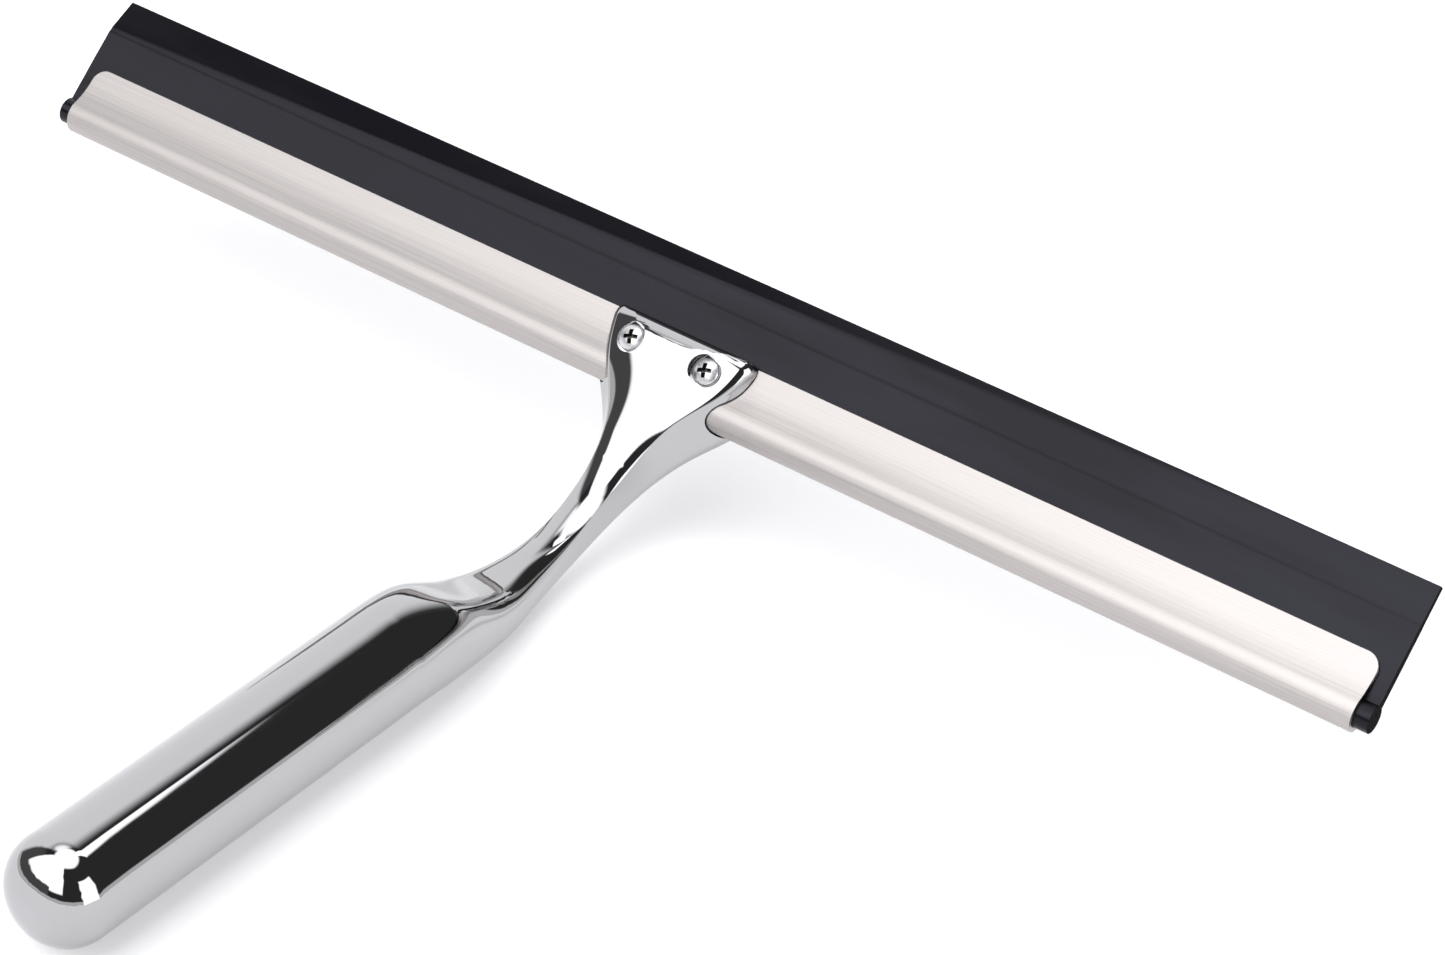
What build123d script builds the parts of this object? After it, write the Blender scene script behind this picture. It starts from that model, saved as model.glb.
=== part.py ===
"""Window squeegee: a chromed casting for a handle, a folded steel channel, a rubber blade and two screws."""

import os
from math import atan2, cos, degrees, radians, sin, sqrt

from build123d import *

# Grip: a round bar with a domed end, lying along Y
grip_diameter = 21.0
grip_length = 89.5
end_round = 9.0

# Back of the neck, as one line: straight on from the grip, then one arc up to the blade's lean
blade_lean = 45.0
straight_back = 30.0
sweep_radius = 91.0
head_straight = 5.5

# Neck sections, at distances along that line from the end of the grip
lead_in_at = 3.0
brow_at = 14.0
brow_depth = 18.7
brow_front = 20.2
brow_back = 18.9
shoulder_at = 22.0
shoulder_depth = 15.0
shoulder_front = 18.2
shoulder_back = 16.8
valley_at = 31.0
valley_depth = 11.5
valley_front = 16.2
valley_back = 13.6
foot_at = 43.0
foot_depth = 9.9
foot_front = 10.2
foot_back = 11.2
waist_at = 59.0
waist_depth = 8.5
waist_front = 7.0
waist_back = 7.8
waist_bulge = 1.1
throat_at = 75.0
throat_depth = 9.9
throat_front = 8.2
throat_back = 13.0
throat_bulge = 1.3
fan_at = 87.0
fan_depth = 12.4
fan_front = 14.2
fan_back = 26.2
fan_bulge = 2.2
jaw_at = 96.5
jaw_depth = 14.0
jaw_front = 24.8
jaw_back = 39.8
jaw_bulge = 3.2
crown_depth = 14.0
crown_front = 33.0
crown_back = 36.6
crown_bulge = 4.0
ridge_share = 0.12
back_radius = 2.6
soft_front_share = 0.4
soft_back_share = 0.46
soft_bulge_share = 0.04
flat_angle = 24.0

# Top edges of the two jaws, rounded over to the channel
front_bevel_run = 5.2
front_bevel_land = 1.2
front_bevel_radius = 6.0
back_bevel_run = 3.4
back_bevel_land = 1.4
back_bevel_radius = 4.0
bevel_overrun = 0.6

# Place of the blade in the head, from the bead's centre
bead_below_crown = 11.0
bead_before_back = 5.84

# Rubber blade
blade_length = 305.0
bead_diameter = 5.4
web_thickness = 1.9
lip_thickness = 1.3
lip_reach = 26.2

# Folded steel channel
channel_length = 299.0
sheet = 0.9
free_edge = 10.4
waist_bend = 14.0
corner_radius = 3.0

# Screws
screw_spacing = 17.2
screw_set = 5.4
screw_diameter = 3.0
screw_length = 10.0
head_diameter = 5.4
head_edge = 1.0
head_height = 2.0
recess_length = 3.0
recess_width = 0.9
recess_depth = 1.2
recess_taper = 12.0
recess_turn = 18.0
seat_height = 5.3

# Clearances
bead_clearance = 0.1
web_clearance = 0.05
seat_clearance = 0.05
screw_hole_clearance = 0.2
thread_clearance = 0.05
counterbore_clearance = 0.45
blind_clearance = 0.4

os.makedirs("parts", exist_ok=True)

# The line of the back, and where it puts the bead and the ends of the whole squeegee along Y
lean = radians(blade_lean)
arc_length = sweep_radius * lean
head_length = straight_back + arc_length + head_straight
crown_y = grip_length + straight_back + sweep_radius * sin(lean) + head_straight * cos(lean)
crown_z = sweep_radius * (1 - cos(lean)) + head_straight * sin(lean)
bead_y = crown_y - bead_below_crown * cos(lean) - bead_before_back * sin(lean)
bead_z = crown_z - bead_below_crown * sin(lean) + bead_before_back * cos(lean)
lip_y = bead_y + lip_reach * cos(lean) + lip_thickness / 2 * sin(lean)
middle_y = lip_y / 2
neck_y = grip_length - middle_y
along = Vector(0, cos(lean), sin(lean))
outward = Vector(0, -sin(lean), cos(lean))
bead_centre = Vector(0, bead_y - middle_y, bead_z)

# Across the blade: x runs to the wiping edge and y out of the front
section_plane = Plane(origin=bead_centre, x_dir=along, z_dir=(1, 0, 0))
# Along the blade: z comes out of the front, on the line of the screws, where their heads seat
seat_plane = Plane(
    origin=bead_centre + along * screw_set + outward * seat_height, x_dir=(1, 0, 0), z_dir=outward
)

# Fold of the channel: round back about the bead, a reverse bend at each side, then flat flanges
fold_radius = bead_diameter / 2 + bead_clearance + sheet
flange_height = web_thickness / 2 + web_clearance + sheet
bend_rise = flange_height + waist_bend
bend_centre = (sqrt((fold_radius + waist_bend) ** 2 - bend_rise**2), bend_rise)
bend_angle = degrees(atan2(bend_centre[1], bend_centre[0]))


def fold_outline(grow, reach):
    """Outside of the folded channel, moved outwards by grow and carried on to reach."""
    with BuildSketch() as outline:
        with BuildLine():
            back = CenterArc((0, 0), fold_radius + grow, bend_angle, 180 - bend_angle)
            bend = CenterArc(bend_centre, waist_bend - grow, 270, bend_angle - 90)
            Polyline(bend @ 0, (reach, flange_height + grow), (reach, 0), back @ 1)
        make_face()
        mirror(about=Plane.XZ)
    return outline.sketch


with BuildLine(Plane.YZ) as back_line:
    straight = Line((neck_y, 0), (neck_y + straight_back, 0))
    sweep_arc = JernArc(straight @ 1, straight % 1, sweep_radius, blade_lean)
    Line(sweep_arc @ 1, sweep_arc @ 1 + (sweep_arc % 1) * head_straight)
spine = back_line.wire()


def spine_plane(distance):
    """Plane square to the back line, with y towards the front."""
    foot = spine.position_at(distance, position_mode=PositionMode.LENGTH)
    direction = spine.tangent_at(distance, position_mode=PositionMode.LENGTH)
    return Plane(origin=foot, x_dir=(-1, 0, 0), z_dir=direction)


def round_section(distance):
    """The grip's circle, kept as eight arcs that match the edges of the neck's sections."""
    centre = (0, grip_diameter / 2)
    arcs = []
    with BuildLine(spine_plane(distance)):
        for quarter in range(4):
            start = 90 * quarter - flat_angle / 2
            arcs.append(CenterArc(centre, grip_diameter / 2, start, flat_angle, mode=Mode.PRIVATE))
            start = start + flat_angle
            arcs.append(CenterArc(centre, grip_diameter / 2, start, 90 - flat_angle, mode=Mode.PRIVATE))
    return Face(Wire(arcs))


def neck_section(distance, depth, front, back, bulge, front_corner, back_corner):
    """Trapezium with rounded corners and a front that bulges, its back on the back line."""
    with BuildSketch(spine_plane(distance)) as section:
        with BuildLine():
            right = (front / 2, depth - bulge)
            left = (-front / 2, depth - bulge)
            Polyline(left, (-back / 2, 0), (back / 2, 0), right)
            ThreePointArc(right, (0, depth), left)
        make_face()
        fillet(section.vertices().group_by(Axis.Y)[-1], front_corner)
        fillet(section.vertices().group_by(Axis.Y)[0], back_corner)
    return section.sketch


def soft_section(distance, depth, front, back):
    """Neck section near the grip, nearly oval."""
    bulge = front * soft_bulge_share
    return neck_section(distance, depth, front, back, bulge, depth * soft_front_share, depth * soft_back_share)


def ridged_section(distance, depth, front, back, bulge):
    """Neck section towards the head, with a bulging front between two ridges."""
    return neck_section(distance, depth, front, back, bulge, front * ridge_share, back_radius)


with BuildPart() as handle:
    # Grip, turned about its own axis
    with BuildSketch(Plane.YZ) as bar:
        with Locations((-middle_y, grip_diameter / 2)):
            Rectangle(grip_length, grip_diameter / 2, align=(Align.MIN, Align.MIN))
        fillet(bar.vertices().group_by(Axis.X)[0].sort_by(Axis.Y)[-1], end_round)
    revolve(axis=Axis((0, 0, grip_diameter / 2), (0, 1, 0)))
    # Shoulder, neck and fan, one skin through all their sections
    loft(
        [
            round_section(0),
            round_section(lead_in_at),
            soft_section(brow_at, brow_depth, brow_front, brow_back),
            soft_section(shoulder_at, shoulder_depth, shoulder_front, shoulder_back),
            soft_section(valley_at, valley_depth, valley_front, valley_back),
            soft_section(foot_at, foot_depth, foot_front, foot_back),
            ridged_section(waist_at, waist_depth, waist_front, waist_back, waist_bulge),
            ridged_section(throat_at, throat_depth, throat_front, throat_back, throat_bulge),
            ridged_section(fan_at, fan_depth, fan_front, fan_back, fan_bulge),
            ridged_section(jaw_at, jaw_depth, jaw_front, jaw_back, jaw_bulge),
            ridged_section(head_length, crown_depth, crown_front, crown_back, crown_bulge),
        ]
    )
    # Slot for the channel, open at the crown and at both sides
    with BuildSketch(section_plane):
        add(fold_outline(seat_clearance, bead_below_crown + crown_depth))
    extrude(amount=crown_back, both=True, mode=Mode.SUBTRACT)
    # Rounded top edges of the two jaws, each arc carried on past its jaw's face
    front_face = crown_depth - bead_before_back
    with BuildSketch(section_plane):
        with BuildLine():
            front_low = (bead_below_crown, flange_height + front_bevel_land)
            front_high = (bead_below_crown - front_bevel_run, front_face + bevel_overrun)
            RadiusArc(front_low, front_high, -front_bevel_radius)
            Polyline(
                front_high,
                (bead_below_crown - front_bevel_run, front_face + crown_depth),
                (bead_below_crown + crown_depth, front_face + crown_depth),
                (bead_below_crown + crown_depth, flange_height + front_bevel_land),
                front_low,
            )
        make_face()
        with BuildLine():
            back_low = (bead_below_crown, -flange_height - back_bevel_land)
            back_high = (bead_below_crown - back_bevel_run, -bead_before_back - bevel_overrun)
            RadiusArc(back_low, back_high, back_bevel_radius)
            Polyline(
                back_high,
                (bead_below_crown - back_bevel_run, -bead_before_back - crown_depth),
                (bead_below_crown + crown_depth, -bead_before_back - crown_depth),
                (bead_below_crown + crown_depth, -flange_height - back_bevel_land),
                back_low,
            )
        make_face()
    extrude(amount=crown_back, both=True, mode=Mode.SUBTRACT)
    # Counterbores and clearance holes in the front jaw, blind tapped holes in the back jaw
    with Locations(seat_plane):
        with GridLocations(screw_spacing, 1, 2, 1):
            Cylinder(
                head_diameter / 2 + counterbore_clearance,
                crown_depth,
                align=(Align.CENTER, Align.CENTER, Align.MIN),
                mode=Mode.SUBTRACT,
            )
            Hole(screw_diameter / 2 + screw_hole_clearance, depth=seat_height)
            Hole(screw_diameter / 2 + thread_clearance, depth=screw_length + blind_clearance)
handle.part.label = "handle"
export_step(handle.part, "parts/handle.step")


with BuildPart() as channel:
    with BuildSketch(section_plane):
        add(fold_outline(0, free_edge))
        add(fold_outline(-sheet, free_edge + sheet), mode=Mode.SUBTRACT)
    extrude(amount=channel_length / 2, both=True)
    # Rounded corners of both flanges at both ends
    fillet(channel.edges().filter_by(Axis((0, 0, 0), outward)), corner_radius)
    with Locations(seat_plane):
        with GridLocations(screw_spacing, 1, 2, 1):
            Hole(screw_diameter / 2 + screw_hole_clearance)
channel.part.label = "channel"
export_step(channel.part, "parts/channel.step")


with BuildPart() as blade:
    with BuildSketch(section_plane):
        Circle(bead_diameter / 2)
        with BuildLine():
            Polyline(
                (0, -web_thickness / 2),
                (free_edge, -web_thickness / 2),
                (lip_reach, -lip_thickness / 2),
                (lip_reach, lip_thickness / 2),
                (free_edge, web_thickness / 2),
                (0, web_thickness / 2),
                close=True,
            )
        make_face()
    extrude(amount=blade_length / 2, both=True)
    with Locations(seat_plane):
        with GridLocations(screw_spacing, 1, 2, 1):
            Hole(screw_diameter / 2 + screw_hole_clearance)
blade.part.label = "blade"
export_step(blade.part, "parts/blade.step")


dome_rise = head_height - head_edge
dome_radius = ((head_diameter / 2) ** 2 + dome_rise**2) / (2 * dome_rise)
for side, screw_name in ((-1, "screw_left"), (1, "screw_right")):
    axis_point = seat_plane.from_local_coords((side * screw_spacing / 2, 0, 0))
    turned_plane = Plane(origin=axis_point, x_dir=(1, 0, 0), z_dir=outward)
    profile_plane = Plane(origin=axis_point, x_dir=(1, 0, 0), z_dir=-along)
    with BuildPart() as screw:
        # Shank and pan head, turned about the screw's axis
        with BuildSketch(profile_plane):
            with BuildLine():
                Polyline(
                    (0, head_height),
                    (0, -screw_length),
                    (screw_diameter / 2, -screw_length),
                    (screw_diameter / 2, 0),
                    (head_diameter / 2, 0),
                    (head_diameter / 2, head_edge),
                )
                RadiusArc((0, head_height), (head_diameter / 2, head_edge), dome_radius)
            make_face()
        revolve(axis=Axis(axis_point, outward))
        # Cross recess
        with BuildSketch(turned_plane.offset(head_height)):
            Rectangle(recess_length, recess_width, rotation=recess_turn)
            Rectangle(recess_width, recess_length, rotation=recess_turn)
        extrude(amount=-recess_depth, taper=recess_taper, mode=Mode.SUBTRACT)
    screw.part.label = screw_name
    export_step(screw.part, f"parts/{screw_name}.step")
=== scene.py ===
"""Window squeegee: chromed handle, folded steel channel, rubber blade and two screws, as put together."""

import math

import bmesh
import bpy
import numpy as np
from mathutils import Euler, Matrix, Vector


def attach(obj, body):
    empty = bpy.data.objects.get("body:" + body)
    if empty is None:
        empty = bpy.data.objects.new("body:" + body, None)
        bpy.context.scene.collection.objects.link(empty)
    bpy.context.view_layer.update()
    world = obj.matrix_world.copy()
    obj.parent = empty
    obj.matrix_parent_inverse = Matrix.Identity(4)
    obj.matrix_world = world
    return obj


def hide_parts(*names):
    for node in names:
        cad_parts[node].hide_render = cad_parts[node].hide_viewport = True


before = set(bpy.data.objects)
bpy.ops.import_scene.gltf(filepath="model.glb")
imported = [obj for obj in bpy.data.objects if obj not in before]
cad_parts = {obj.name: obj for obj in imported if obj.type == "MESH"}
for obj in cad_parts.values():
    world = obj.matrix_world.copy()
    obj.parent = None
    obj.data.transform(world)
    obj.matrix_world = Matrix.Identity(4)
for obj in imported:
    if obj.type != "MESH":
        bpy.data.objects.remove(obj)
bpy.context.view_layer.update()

# Camera. It stands in front of the grip's end, to the right and above,
# and looks along the neck at the head, through a long lens.
camera = bpy.data.objects.new("camera", bpy.data.cameras.new("camera"))
camera.data.lens = 104.748
camera.data.sensor_width = 36.0
camera.data.sensor_fit = "HORIZONTAL"
camera.data.clip_start = 0.01
camera.location = (0.3628, -0.48115, 0.46565)
camera.rotation_euler = Euler([math.radians(angle) for angle in (55.394, -4.955, 35.318)], "XYZ")
bpy.context.scene.collection.objects.link(camera)
bpy.context.scene.camera = camera

# Handle. One zinc die casting, ground, polished and chrome plated: a round grip with a domed end,
# a shoulder on the front, a slim neck and a forked head that takes the channel in its slot.
# It is lofted through the same sections as the solid, with more rings, so that reflections run clean.
mm = 0.001
grip_radius = 10.5
grip_end = -97.407
grip_rings = 14
end_round = 9.0
neck_start = -7.907
neck_rings = 128
round_run = 3.0
straight_back = 30.0
sweep_radius = 91.0
lean = math.radians(45)
straight_head = 5.5
head_length = straight_back + sweep_radius * lean + straight_head
# Sections of the neck: distance along its back, depth, width of the front, width of the back
soft_sections = [
    (14.0, 18.7, 20.2, 18.9),
    (22.0, 15.0, 18.2, 16.8),
    (31.0, 11.5, 16.2, 13.6),
    (43.0, 9.9, 10.2, 11.2),
]
# Bulge as a share of their width, front and back corners as shares of their depth
soft_bulge, soft_front, soft_back = 0.04, 0.4, 0.46
# Sections of the fan, with the bulge of the front as well
ridged_sections = [
    (59.0, 8.5, 7.0, 7.8, 1.1),
    (75.0, 9.9, 8.2, 13.0, 1.3),
    (87.0, 12.4, 14.2, 26.2, 2.2),
    (96.5, 14.0, 24.8, 39.8, 3.2),
    (head_length, 14.0, 33.0, 36.6, 4.0),
]
# Front corners as a share of their width, and the back corners' radius
ridged_front, ridged_back = 0.12, 2.6
# The front jaw's edge is rounded off towards the crown, over a run and by an inset, above a height
edge_run, edge_inset = 2.8, 1.7
edge_height, edge_blend = 5.0, 2.0
flat_angle = 24.0
flat_steps = 6
corner_steps = 16


def arc(centre, radius, start, end, steps):
    """Points on an arc from start towards end, in radians, without the last one."""
    turns = [start + (end - start) * step / steps for step in range(steps)]
    return [(centre[0] + radius * math.cos(turn), centre[1] + radius * math.sin(turn)) for turn in turns]


def round_outline(radius):
    """The grip's circle in the order of the neck's outlines: side, corner, front, corner and so on."""
    points = []
    for quarter in range(4):
        start = math.radians(90 * quarter - flat_angle / 2)
        middle = math.radians(90 * quarter + flat_angle / 2)
        end = math.radians(90 * quarter + 90 - flat_angle / 2)
        points += arc((0, grip_radius), radius, start, middle, flat_steps)
        points += arc((0, grip_radius), radius, middle, end, corner_steps)
    return points


def neck_outline(depth, front, back, bulge, front_corner, back_corner):
    """Trapezium with rounded corners and a bulging front, its back at height 0."""
    heel, top = Vector((back / 2, 0)), Vector((front / 2, depth - bulge))
    rise = (top - heel).normalized()
    inward = Vector((-rise.y, rise.x))
    bow = (front**2 / 4 + bulge**2) / (2 * bulge)
    # Centres of the two right-hand corners, one radius inside the side
    low = heel + inward * back_corner
    low += rise * (back_corner - low.y) / rise.y
    high = heel + inward * front_corner
    reach = high - Vector((0, depth - bow))
    ahead = reach.dot(rise)
    high += rise * (math.sqrt(ahead**2 - reach.length_squared + (bow - front_corner) ** 2) - ahead)
    side_turn = math.atan2(-inward.y, -inward.x)
    front_turn = math.atan2(high.y - depth + bow, high.x)
    side = [low - inward * back_corner, high - inward * front_corner]
    side = [tuple(side[0].lerp(side[1], step / flat_steps)) for step in range(flat_steps + 1)]
    points = side[:-1]
    points += arc(high, front_corner, side_turn, front_turn, corner_steps)
    points += arc((0, depth - bow), bow, front_turn, math.pi - front_turn, flat_steps)
    points += arc((-high.x, high.y), front_corner, math.pi - front_turn, math.pi - side_turn, corner_steps)
    points += [(-x, y) for x, y in side[:0:-1]]
    points += arc((-low.x, low.y), back_corner, math.pi - side_turn, 1.5 * math.pi, corner_steps)
    points += [(low.x * (2 * step / flat_steps - 1), 0) for step in range(flat_steps)]
    points += arc(low, back_corner, -0.5 * math.pi, side_turn, corner_steps)
    return points


def smooth_through(stops, values, places):
    """Cubic spline through values at stops, level at its start, read at places."""
    gaps = np.diff(stops)
    rises = np.diff(values, axis=0) / gaps[:, None]
    system = np.eye(len(stops))
    target = np.zeros_like(values)
    for stop in range(1, len(stops) - 1):
        system[stop, stop - 1 : stop + 2] = gaps[stop], 2 * (gaps[stop - 1] + gaps[stop]), gaps[stop - 1]
        target[stop] = 3 * (gaps[stop] * rises[stop - 1] + gaps[stop - 1] * rises[stop])
    system[-1, -2:] = 1, 2
    target[-1] = 3 * rises[-1]
    slopes = np.linalg.solve(system, target)
    span = np.clip(np.searchsorted(stops, places, side="right") - 1, 0, len(gaps) - 1)
    gap = gaps[span][:, None]
    part = ((places - np.asarray(stops)[span])[:, None]) / gap
    start, end = values[span], values[span + 1]
    first = slopes[span] * gap
    last = slopes[span + 1] * gap
    return (
        start * (1 + 2 * part) * (1 - part) ** 2
        + first * part * (1 - part) ** 2
        + end * part**2 * (3 - 2 * part)
        - last * part**2 * (1 - part)
    )


def back_line(distance):
    """Point and slope of the neck's back, a straight, one arc and a straight."""
    turn = min(max((distance - straight_back) / sweep_radius, 0), lean)
    rest = max(distance - straight_back - sweep_radius * lean, 0)
    ahead = min(distance, straight_back) + sweep_radius * math.sin(turn) + rest * math.cos(turn)
    up = sweep_radius * (1 - math.cos(turn)) + rest * math.sin(turn)
    return neck_start + ahead, up, turn


def bridge_rings(mesh, rings):
    """Skin from each ring of points to the next, closed at both ends."""
    loops = []
    for ring in rings:
        vertices = [mesh.verts.new(Vector(point) * mm) for point in ring]
        pairs = [(vertices[number - 1], vertices[number]) for number in range(len(vertices))]
        loops.append([mesh.edges.new(pair) for pair in pairs])
    for below, above in zip(loops, loops[1:]):
        bmesh.ops.bridge_loops(mesh, edges=below + above)
    for loop in (loops[0], loops[-1]):
        bmesh.ops.contextual_create(mesh, geom=loop)
    bmesh.ops.recalc_face_normals(mesh, faces=mesh.faces)


def as_object(name, mesh):
    """Object in the scene from a bmesh, which it frees."""
    data = bpy.data.meshes.new(name)
    mesh.to_mesh(data)
    mesh.free()
    made = bpy.data.objects.new(name, data)
    bpy.context.scene.collection.objects.link(made)
    return made


# The flat end, the dome round it and the grip
rings = [[(x, grip_end, z) for x, z in round_outline(radius)] for radius in (0.5, 1.0)]
for angle in range(0, 91, 5):
    turn = math.radians(angle)
    radius = grip_radius - end_round + end_round * math.sin(turn)
    ahead = grip_end + end_round * (1 - math.cos(turn))
    rings.append([(x, ahead, z) for x, z in round_outline(radius)])
for step in range(1, grip_rings):
    ahead = grip_end + end_round + (neck_start - grip_end - end_round) * step / grip_rings
    rings.append([(x, ahead, z) for x, z in round_outline(grip_radius)])
# The neck and the fan, with closer rings on the rounded edge
stops = [0.0, round_run] + [section[0] for section in soft_sections + ridged_sections]
outlines = [round_outline(grip_radius)] * 2
for _, depth, front, back in soft_sections:
    corners = soft_front * depth, soft_back * depth
    outlines.append(neck_outline(depth, front, back, soft_bulge * front, *corners))
for _, depth, front, back, bulge in ridged_sections:
    outlines.append(neck_outline(depth, front, back, bulge, ridged_front * front, ridged_back))
places = np.linspace(0, head_length - edge_run, neck_rings)
places = np.append(places, head_length - edge_run * (1 - np.sin(np.radians(np.arange(9, 91, 9)))))
skins = smooth_through(stops, np.array(outlines).reshape(len(stops), -1), places)
for place, skin in zip(places, skins):
    skin = skin.reshape(-1, 2)
    risen = max(1 - (head_length - place) / edge_run, 0)
    inset = edge_inset * (1 - math.sqrt(1 - risen**2))
    run = np.roll(skin, -1, axis=0) - np.roll(skin, 1, axis=0)
    inward = np.stack([-run[:, 1], run[:, 0]], axis=1) / np.linalg.norm(run, axis=1)[:, None]
    skin = skin + inward * (inset * np.clip((skin[:, 1] - edge_height) / edge_blend, 0, 1))[:, None]
    ahead, up, turn = back_line(place)
    rings.append([(x, ahead - front * math.sin(turn), up + front * math.cos(turn)) for x, front in skin])
casting = bmesh.new()
bridge_rings(casting, rings)
# Flat triangles, so that the cuts meet the skin cleanly
bmesh.ops.triangulate(casting, faces=casting.faces)
handle = as_object("handle_casting", casting)

# The slot, the rounded tops of both jaws and the bores, cut out of the casting;
# the jaws grip the channel's flanges at their mouths and stand clear of its fold
bead = Vector((0, 78.4212, 26.8937))
along = Vector((0, math.cos(lean), math.sin(lean)))
outward = Vector((0, -math.sin(lean), math.cos(lean)))
crown = 11.0
fold_radius = 3.7
flange_height = 1.9
waist_bend = 14.0
bend_rise = flange_height + waist_bend
bend_centre = (math.sqrt((fold_radius + waist_bend) ** 2 - bend_rise**2), bend_rise)
bend_turn = math.atan2(bend_centre[1], bend_centre[0])
fold_gap = 0.35
mouth_gap = 0.05
cut_width = 60.0
cut_height = 22.0
cut_past = 6.0


def fold_side(grow):
    """Front half of the fold's outside, moved out by grow: round the bead, then bent to the flange."""
    points = arc((0, 0), fold_radius + grow, math.pi, bend_turn, 32)
    points += arc(bend_centre, waist_bend - grow, bend_turn - math.pi, -math.pi / 2, 16)
    return points + [(bend_centre[0], flange_height + grow)]


def jaw_cut(mouth, drop, face, radius):
    """Cut for one jaw: round the fold to the crown, then over a rounded top from mouth to face height."""
    low, high = Vector((crown, mouth)), Vector((crown - drop, face))
    chord = high - low
    inward = Vector((-chord.y, chord.x)).normalized()
    centre = low + chord / 2 + inward * math.sqrt(radius**2 - (chord.length / 2) ** 2)
    start, end = low - centre, high - centre
    turn = math.atan2(start.y, start.x)
    slot_height = flange_height + mouth_gap
    points = fold_side(fold_gap) + [(crown, slot_height), (crown + 1, slot_height), (crown + 1, mouth)]
    points += arc(centre, radius, turn, turn - start.angle_signed(end), 16)
    return points + [tuple(high), (crown - drop, cut_height), (crown + cut_past, cut_height)]


def in_head(x, reach, out):
    """Point at x along the blade, reach from the bead to the wiping edge and out from its middle, in mm."""
    return Vector((x, 0, 0)) + bead + along * reach + outward * out


def pull_across(mesh, faces, length):
    """Extrudes faces along the blade, by a length in mm."""
    made = bmesh.ops.extrude_face_region(mesh, geom=faces)["geom"]
    moved = [item for item in made if isinstance(item, bmesh.types.BMVert)]
    bmesh.ops.translate(mesh, vec=(length * mm, 0, 0), verts=moved)
    bmesh.ops.recalc_face_normals(mesh, faces=mesh.faces)


front_jaw = jaw_cut(mouth=3.1, drop=5.2, face=8.76, radius=6.0)
back_jaw = jaw_cut(mouth=3.3, drop=3.4, face=6.44, radius=4.0)
cut_outline = front_jaw + [(reach, -out) for reach, out in back_jaw[:0:-1]]
cutter = bmesh.new()
corners = [cutter.verts.new(in_head(-cut_width / 2, reach, out) * mm) for reach, out in cut_outline]
pull_across(cutter, [cutter.faces.new(corners)], cut_width)
slot_cutter = as_object("slot_cutter", cutter)

screw_set = 5.4
screw_half = 8.6
seat_height = 5.3
square = outward.to_track_quat("Z", "Y").to_matrix().to_4x4()


def bore_tool(name, radius, low, high):
    """Cutter with a cylinder per screw, its low and high end measured from the heads' seat."""
    cylinders = bmesh.new()
    for side in (-1, 1):
        middle = in_head(side * screw_half, screw_set, seat_height + (low + high) / 2)
        bmesh.ops.create_cone(
            cylinders,
            cap_ends=True,
            segments=64,
            radius1=radius * mm,
            radius2=radius * mm,
            depth=(high - low) * mm,
            matrix=Matrix.Translation(middle * mm) @ square,
        )
    return as_object(name, cylinders)


def cut_away(piece, tools):
    """Cuts tools out of a piece in turn and drops them, then shades it smooth up to its sharp edges."""
    for tool in tools:
        cut = piece.modifiers.new(tool.name, "BOOLEAN")
        cut.operation = "DIFFERENCE"
        cut.solver = "EXACT"
        cut.object = tool
    cut_mesh = bpy.data.meshes.new_from_object(piece.evaluated_get(bpy.context.evaluated_depsgraph_get()))
    piece.modifiers.clear()
    # Slivers under a micron go
    clean = bmesh.new()
    clean.from_mesh(cut_mesh)
    bmesh.ops.dissolve_degenerate(clean, dist=0.001 * mm, edges=clean.edges)
    clean.to_mesh(cut_mesh)
    clean.free()
    piece.data = cut_mesh
    for tool in tools:
        bpy.data.objects.remove(tool)
    piece.data.materials.clear()
    piece.data.shade_smooth()
    piece.data.set_sharp_from_angle(angle=math.radians(32))
    even = piece.modifiers.new("even_normals", "WEIGHTED_NORMAL")
    even.keep_sharp = True


hole_radius = 1.7
counterbores = bore_tool("counterbores", radius=3.15, low=0, high=12)
screw_holes = bore_tool("screw_holes", radius=hole_radius, low=-6.3, high=1)
tapped_holes = bore_tool("tapped_holes", radius=1.55, low=-10.4, high=-5.3)
cut_away(handle, [slot_cutter, counterbores, screw_holes, tapped_holes])


def linear(code, alpha=1.0):
    """sRGB hex code as a linear colour."""
    parts = [int(code[place : place + 2], 16) / 255 for place in (1, 3, 5)]
    return [part / 12.92 if part <= 0.04045 else ((part + 0.055) / 1.055) ** 2.4 for part in parts] + [alpha]


def add_node(tree, kind, settings=None, **inputs):
    """Node with its settings; each input is a value or the output socket of another node."""
    node = tree.nodes.new(kind)
    for name, value in (settings or {}).items():
        setattr(node, name, value)
    for name, value in inputs.items():
        socket = node.inputs[int(name[1:])] if name[1:].isdigit() else node.inputs[name.replace("_", " ")]
        if isinstance(value, bpy.types.NodeSocket):
            tree.links.new(value, socket)
        else:
            socket.default_value = value
    return node


def new_material(name, **inputs):
    """Material with its shader's inputs set; gives it, its tree, its shader and object coordinates."""
    material = bpy.data.materials.new(name)
    material.use_nodes = True
    tree = material.node_tree
    shader = tree.nodes["Principled BSDF"]
    for socket, value in inputs.items():
        shader.inputs[socket.replace("_", " ")].default_value = value
    return material, tree, shader, add_node(tree, "ShaderNodeTexCoord").outputs["Object"]


def noise(tree, place, size, detail):
    """Noise with grains of about a size in mm."""
    return add_node(tree, "ShaderNodeTexNoise", Vector=place, Scale=1 / (size * mm), Detail=detail).outputs[0]


def ranged(tree, value, low, high):
    """A texture's value, spread from its usual 0.3 to 0.7 over low to high."""
    limits = {"From_Min": 0.3, "From_Max": 0.7, "To_Min": low, "To_Max": high}
    return add_node(tree, "ShaderNodeMapRange", Value=value, **limits).outputs[0]


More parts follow.
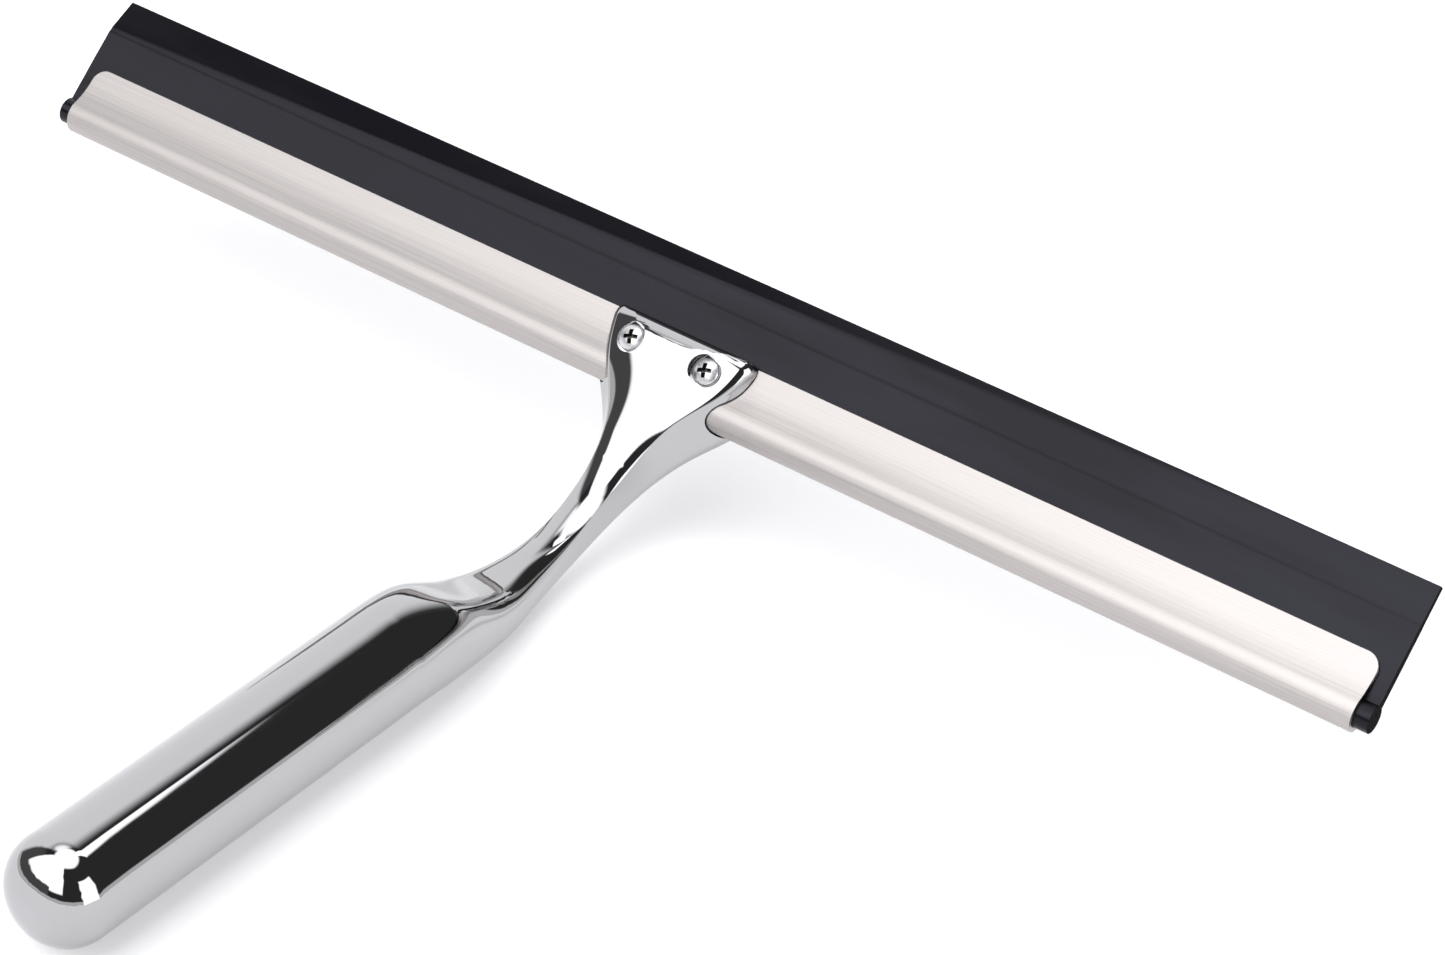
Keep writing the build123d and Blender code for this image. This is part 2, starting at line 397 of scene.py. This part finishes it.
# Chrome plate: a mirror with a neutral grey tint; polishing leaves it faintly wavy over centimetres,
# and handling leaves patches that are a touch less clear
chrome, tree, shader, place = new_material(
    "polished_chrome_plate", Metallic=1.0, Base_Color=linear("#b0b0b1")
)
patches = noise(tree, place, 18, 3.0)
tree.links.new(ranged(tree, patches, 0.02, 0.05), shader.inputs["Roughness"])
waves = noise(tree, place, 9, 0.0)
swell = add_node(tree, "ShaderNodeBump", Strength=1.0, Distance=0.012 * mm, Height=waves)
tree.links.new(swell.outputs[0], shader.inputs["Normal"])
handle.data.materials.append(chrome)
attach(handle, "squeegee")
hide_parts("handle")

# Channel. Stainless steel sheet, brushed along its length and folded round the bead of the rubber,
# then bent in to the web on both sides; it is pushed into the head's slot and clamped there.
sheet = 0.9
free_edge = 10.4
channel_half = 149.5
corner_radius = 3.0
corner_start = free_edge - corner_radius
least_step = 0.1
# The flange from the bend to its free edge, with closer points on its rounded corners
flange = [corner_start + corner_radius * math.sin(math.radians(7.5 * step)) for step in range(13)]
flange = [reach for reach in flange if reach > bend_centre[0] + least_step]
outside = fold_side(0) + [(reach, flange_height) for reach in flange]
inside = fold_side(-sheet) + [(reach, flange_height - sheet) for reach in flange]
outside = [(reach, -out) for reach, out in outside[:0:-1]] + outside
inside = [(reach, -out) for reach, out in inside[:0:-1]] + inside
folded = bmesh.new()
outer = [folded.verts.new(in_head(-channel_half, reach, out) * mm) for reach, out in outside]
inner = [folded.verts.new(in_head(-channel_half, reach, out) * mm) for reach, out in inside]
quads = zip(outer, outer[1:], inner[1:], inner)
pull_across(folded, [folded.faces.new(quad) for quad in quads], 2 * channel_half)
for vertex in folded.verts:
    past = (vertex.co / mm - bead).dot(along) - corner_start
    if past > 0:
        back_off = corner_radius - math.sqrt(max(corner_radius**2 - past**2, 0))
        vertex.co.x -= math.copysign(back_off * mm, vertex.co.x)
channel = as_object("channel_sheet", folded)
cut_away(channel, [bore_tool("holes", radius=hole_radius, low=-12, high=4)])


def drawn_out(tree, place, ratio):
    """Coordinates that draw a texture out along the blade, by a ratio of length to width."""
    scales = (1 / ratio, 1, 1)
    return add_node(tree, "ShaderNodeVectorMath", {"operation": "MULTIPLY"}, _0=place, _1=scales).outputs[0]


def tinted(tree, value, low, high):
    """Colour between two hex codes by a texture's value."""
    share = ranged(tree, value, 0.0, 1.0)
    colours = {"_6": linear(low), "_7": linear(high)}
    return add_node(tree, "ShaderNodeMix", {"data_type": "RGBA"}, _0=share, **colours).outputs[2]


# Brushed stainless steel: warm grey, with fine streaks along the sheet that draw highlights out across it
steel, tree, shader, place = new_material("brushed_stainless_steel", Metallic=1.0, Anisotropic=0.85)
streaks = noise(tree, drawn_out(tree, place, 40 / 0.3), 0.3, 4.0)
tree.links.new(tinted(tree, streaks, "#aeaaa8", "#beb9b6"), shader.inputs["Base Color"])
tree.links.new(ranged(tree, streaks, 0.38, 0.46), shader.inputs["Roughness"])
across = add_node(tree, "ShaderNodeTangent", {"direction_type": "RADIAL", "axis": "X"})
tree.links.new(across.outputs[0], shader.inputs["Tangent"])
channel.data.materials.append(steel)
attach(channel, "squeegee")
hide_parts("channel")

# Blade. Black rubber strip, moulded with a round bead at the back, a flat web and, past a fine crease,
# a thinner wiping lip; the bead holds it in the channel. The lip lies back a little towards its left end.
blade_half = 152.5
blade_stations = 62
bead_radius = 2.7
web_start = 2.527
web_thickness = 1.9
web_end = 10.4
crease = 18.4
crease_half = 0.3
crease_start, lip_start = crease - crease_half, crease + crease_half
lip_end = 26.2
lip_steps = 24
lip_bend = math.radians(16)
bend_run = 1.6
thickness = [
    (web_start, web_thickness),
    (web_end, web_thickness),
    (crease_start, 1.72),
    (lip_start, 1.5),
    (lip_end, 1.3),
]
reaches = [web_start, 4.5, 6.5, 8.5, web_end, 12.4, 14.4, 16.4, 17.4, 17.9]
reaches += [crease_start, crease, lip_start]
reaches += [lip_start + (lip_end - lip_start) * step / lip_steps for step in range(1, lip_steps + 1)]
bead_turn = math.asin(web_thickness / 2 / bead_radius)
sections = []
for x in np.linspace(-blade_half, blade_half, blade_stations):
    bend_start = crease + (lip_end - crease) * (x + blade_half) / (2 * blade_half)
    reach, out = web_start, 0.0
    front, back = [], []
    for number, stop in enumerate(reaches):
        part = min(max((stop - bend_start) / bend_run, 0), 1)
        bend = lip_bend * part**2 * (3 - 2 * part)
        if number:
            step = stop - reaches[number - 1]
            reach += step * math.cos(bend)
            out -= step * math.sin(bend)
        half = np.interp(stop, *zip(*thickness)) / 2
        front.append((reach + half * math.sin(bend), out + half * math.cos(bend)))
        back.append((reach - half * math.sin(bend), out - half * math.cos(bend)))
    outline = arc((0, 0), bead_radius, bead_turn, 2 * math.pi - bead_turn, 40)[1:] + back + front[::-1]
    sections.append([in_head(x, reach, out) for reach, out in outline])
strip = bmesh.new()
bridge_rings(strip, sections)
rims = [edge for edge in strip.edges if edge.calc_face_angle(0) > math.radians(70)]
bmesh.ops.bevel(strip, geom=rims, offset=0.1 * mm, segments=2, profile=0.5, affect="EDGES", material=-1)
blade = as_object("blade_rubber", strip)
cut_away(blade, [bore_tool("holes", radius=hole_radius, low=-12, high=4)])

# Black rubber: a soft sheen over near-black, with the fine grain of the mould and faint marks of use
rubber, tree, shader, place = new_material(
    "black_rubber", Specular_IOR_Level=0.2, Specular_Tint=linear("#efefff")
)
marks = noise(tree, drawn_out(tree, place, 50 / 9), 9, 3.0)
tree.links.new(ranged(tree, marks, 0.32, 0.14), shader.inputs["Roughness"])
tree.links.new(tinted(tree, marks, "#060608", "#111116"), shader.inputs["Base Color"])
grain = noise(tree, place, 0.5, 2.0)
mould = add_node(tree, "ShaderNodeBump", Strength=0.4, Distance=0.01 * mm, Height=grain)
tree.links.new(mould.outputs[0], shader.inputs["Normal"])
blade.data.materials.append(rubber)

# Cut rubber: both ends, where the strip was cut to length, are matt and a deeper black
cut_rubber, tree, shader, place = new_material(
    "cut_rubber", Base_Color=linear("#060607"), Specular_IOR_Level=0.05
)
tree.links.new(ranged(tree, noise(tree, place, 0.4, 2.0), 0.7, 0.9), shader.inputs["Roughness"])
blade.data.materials.append(cut_rubber)
for face in blade.data.polygons:
    face.material_index = 1 if abs(face.normal.x) > 0.9 else 0
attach(blade, "squeegee")
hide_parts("blade")

# Screws. Two M3 machine screws with pan heads and cross recesses, cold headed, rolled and plated;
# each goes through the front jaw, the sheet and the rubber into a tapped hole in the back jaw.
screw_radius = 1.5
screw_length = 10.0
around = 48
tip_length = 0.25
tip_taper = 0.35
tip_rings = 6
plain_length = 0.65
pitch = 0.5
thread_depth = 0.28
groove_width, groove_slope = 1.35, 0.9
turn_rings = 8
thread_rings = round((screw_length - tip_length - plain_length) / (pitch / turn_rings))
head_radius = 2.7
head_round = 0.15
head_edge = 1.0
head_height = 2.0
dome_rise = head_height - head_edge
dome_radius = (head_radius**2 + dome_rise**2) / (2 * dome_rise)
dome_span = math.asin(head_radius / dome_radius)
dome_rings = 22
# Level from the head's top and how much narrower the recess is there
recess_levels = ((0.3, -0.064), (-1.2, 0.255))
recess_turns = [math.radians(18) + math.pi / 2 * quarter for quarter in range(4)]
arm_reach = 1.5
arm_half = 0.45
# Reach from the axis, and depths below the dome, of the recess's painted shade and grime
recess_shade_reach = 1.6
recess_shade_from, recess_shade_to = 0.03, 1.3

# Level and radius up the head, from its seat over its rounded edge and its dome
head_profile = [(0.0, screw_radius), (0.0, 2.0), (0.0, head_radius - head_round)]
for angle in (30, 60, 90):
    turn = math.radians(angle)
    radius = head_radius - head_round + head_round * math.sin(turn)
    head_profile.append((head_round - head_round * math.cos(turn), radius))
head_profile += [(0.5, head_radius), (head_edge - 0.12, head_radius), (head_edge - 0.04, head_radius - 0.02)]
for step in range(1, dome_rings):
    turn = dome_span * (1 - step / dome_rings)
    head_profile.append((head_height - dome_radius * (1 - math.cos(turn)), dome_radius * math.sin(turn)))


def at_screw(side, turn, x, y, level):
    """Point x and y off a screw's axis, turned round it, at a level above the head's seat."""
    aside = x * math.cos(turn) - y * math.sin(turn)
    ahead = x * math.sin(turn) + y * math.cos(turn)
    return in_head(side * screw_half + aside, screw_set + ahead, seat_height + level)


# Bright zinc plate, dulled by tumbling, and for the recess a dark grey that is painted shade with some grime,
# put on its sunk faces
plating, tree, shader, place = new_material("bright_zinc_plate", Metallic=1.0, Base_Color=linear("#d6d6d8"))
tree.links.new(ranged(tree, noise(tree, place, 0.6, 3.0), 0.3, 0.42), shader.inputs["Roughness"])
# The recess's darker grey is painted shade, with some grime, mottled by a fine noise
recess_shade_and_grime, tree, shader, place = new_material("painted_recess_shade_and_grime", Metallic=1.0, Roughness=0.5)
shade_and_grime_mottle = noise(tree, place, 0.3, 2.0)
tree.links.new(tinted(tree, shade_and_grime_mottle, "#3c3a38", "#64625f"), shader.inputs["Base Color"])

for name, side in (("screw_left", -1), ("screw_right", 1)):
    # The tip, then the thread, which fades in and out over a turn, then the head
    stack = [[(-screw_length, radius)] * around for radius in (0.3, 0.7)]
    for step in range(thread_rings + 1):
        level = -screw_length + tip_length + step * pitch / turn_rings
        fade = min(1, (step + 1) / turn_rings, (thread_rings - step) / turn_rings)
        taper = max(0, 1 - step / tip_rings) * tip_taper
        ring = []
        for number in range(around):
            phase = (level / pitch - number / around) % 1
            groove = min(1, max(0, groove_width - abs(4 * phase - 2) * groove_slope)) * thread_depth
            ring.append((level, screw_radius - groove * fade - taper))
        stack.append(ring)
    stack += [[point] * around for point in head_profile]
    rings = []
    for ring in stack:
        turns = [2 * math.pi * number / around for number in range(around)]
        rings.append([at_screw(side, turn, radius, 0, level) for turn, (level, radius) in zip(turns, ring)])
    turned = bmesh.new()
    bridge_rings(turned, rings)
    screw = as_object(name + "_plated", turned)
    # Cross recess, narrower towards its bottom
    crosses = []
    for level, shrink in recess_levels:
        long, wide = arm_reach - shrink, arm_half - shrink
        arm = [(long, -wide), (long, wide), (wide, wide)]
        corners = [(turn, x, y) for turn in recess_turns for x, y in arm]
        crosses.append([at_screw(side, turn, x, y, head_height + level) for turn, x, y in corners])
    recess = bmesh.new()
    bridge_rings(recess, crosses)
    cut_away(screw, [as_object("recess", recess)])
    screw.data.materials.append(plating)
    screw.data.materials.append(recess_shade_and_grime)
    # The faces sunk below the dome, inside the recess, get the painted shade and grime
    top = in_head(side * screw_half, screw_set, seat_height + head_height)
    for face in screw.data.polygons:
        depth = (top - face.center / mm).dot(outward)
        spread = (top - face.center / mm - outward * depth).length
        sunk = depth - dome_radius + math.sqrt(dome_radius**2 - spread**2)
        face.material_index = 1 if spread < recess_shade_reach and recess_shade_from < sunk < recess_shade_to else 0
    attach(screw, name)
    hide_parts(name)

# Floor. A sheet of white paper just under the part, which glows a little
# so that it goes white and keeps only a soft shadow.
ground = bmesh.new()
bmesh.ops.create_grid(ground, x_segments=1, y_segments=1, size=4.0)
floor = as_object("floor", ground)
paper = new_material(
    "white_paper",
    Base_Color=linear("#e2e2e4"),
    Roughness=0.9,
    Emission_Color=linear("#ffffff"),
    Emission_Strength=0.35,
)[0]
floor.data.materials.append(paper)
floor.location.z = -0.5 * mm

# Light. A dim studio with lit panels, placed by heading and height in degrees as seen from the part:
# heading 0 lies past the blade, 90 to the right and 180 behind the grip's end.
world = bpy.data.worlds.new("studio")
world.use_nodes = True
bpy.context.scene.world = world
room = world.node_tree


def room_math(operation, *values):
    """A Math node's output in the world's tree."""
    inputs = {f"_{number}": value for number, value in enumerate(values)}
    return add_node(room, "ShaderNodeMath", {"operation": operation}, **inputs).outputs[0]


ray = add_node(room, "ShaderNodeTexCoord").outputs["Generated"]
ray_parts = add_node(room, "ShaderNodeSeparateXYZ", Vector=ray).outputs
heading = room_math("DEGREES", room_math("ARCTAN2", ray_parts["X"], ray_parts["Y"]))
height = room_math("DEGREES", room_math("ARCSINE", ray_parts["Z"]))


def panel(limits, glow):
    """Light panel between headings and heights, each limit given as where it is dark and where lit."""
    level = glow
    for source, dark, lit in limits:
        span = {"Value": source, "From_Min": dark, "From_Max": lit}
        edge = add_node(room, "ShaderNodeMapRange", {"interpolation_type": "SMOOTHSTEP"}, **span)
        level = room_math("MULTIPLY", level, edge.outputs[0])
    return level


panels = [
    # Overhead
    panel([(height, 66, 72)], 2.6),
    # Left of the grip, brighter towards its end, and right of its end
    panel([(heading, -110, -114), (height, 21, 26)], 2.35),
    panel([(heading, -124, -142), (height, 21, 26)], 3.5),
    panel([(heading, 151, 154), (height, 15, 20)], 2.6),
    # Past the blade on the left, low and high, and a faint fill in the middle
    panel([(heading, -93, -84), (heading, 0, -30), (height, 68, 48)], 1.33),
    panel([(heading, -95, -75), (heading, -15, -45), (height, 53, 66)], 2.2),
    panel([(heading, 20, -20), (height, 64, 44)], 0.12),
    # On the right, low
    panel([(heading, 76, 80), (heading, 115, 111), (height, 43, 40)], 2.6),
    # Round the horizon
    panel([(height, 7, 5)], 0.85),
    # High past the blade
    panel([(heading, 1, 4), (heading, 28, 24), (height, 52, 54)], 2.6),
]
total = 0.045
for level in panels:
    total = room_math("MAXIMUM", total, level)
# The backdrop itself is plain white
seen = add_node(room, "ShaderNodeLightPath").outputs["Is Camera Ray"]
glow = add_node(room, "ShaderNodeMix", {"data_type": "FLOAT"}, _0=seen, _2=total, _3=1.0).outputs[0]
room.links.new(glow, room.nodes["Background"].inputs["Strength"])
room.nodes["Background"].inputs["Color"].default_value = linear("#fdfdff")
bpy.context.scene.view_settings.view_transform = "Standard"
